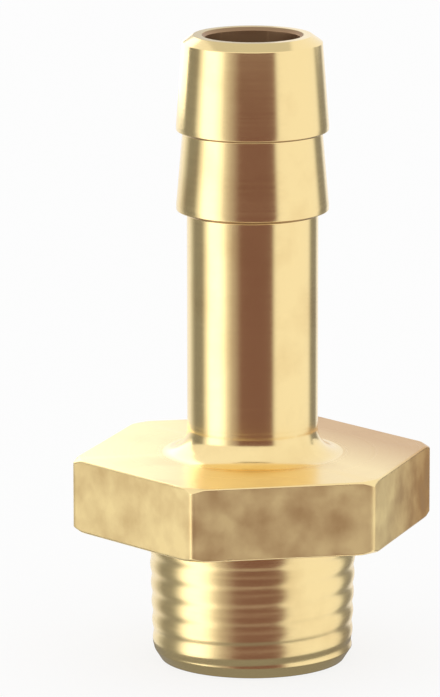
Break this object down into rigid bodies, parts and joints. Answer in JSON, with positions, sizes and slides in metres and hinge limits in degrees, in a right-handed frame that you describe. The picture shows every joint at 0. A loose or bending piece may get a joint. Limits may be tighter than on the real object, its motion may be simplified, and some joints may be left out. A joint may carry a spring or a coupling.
{
  "type": "hose tail",
  "caption": "Turned brass hose tail: a barbed stem for a push-on hose, a hexagon for a spanner and a taper pipe thread shank, bored right through.",
  "frame": {"origin": "centre of the threaded shank's end face, which the fitting stands on", "axes": "+Z along the fitting's axis, from the threaded end to the tip of the barbed tail; +X through a corner of the hexagon"},
  "size_m": [0.0174, 0.015, 0.03],
  "materials": {
    "brass": "bright turned brass"
  },
  "bodies": {
    "root": {"hose_tail": "brass"}
  },
  "joints": []
}
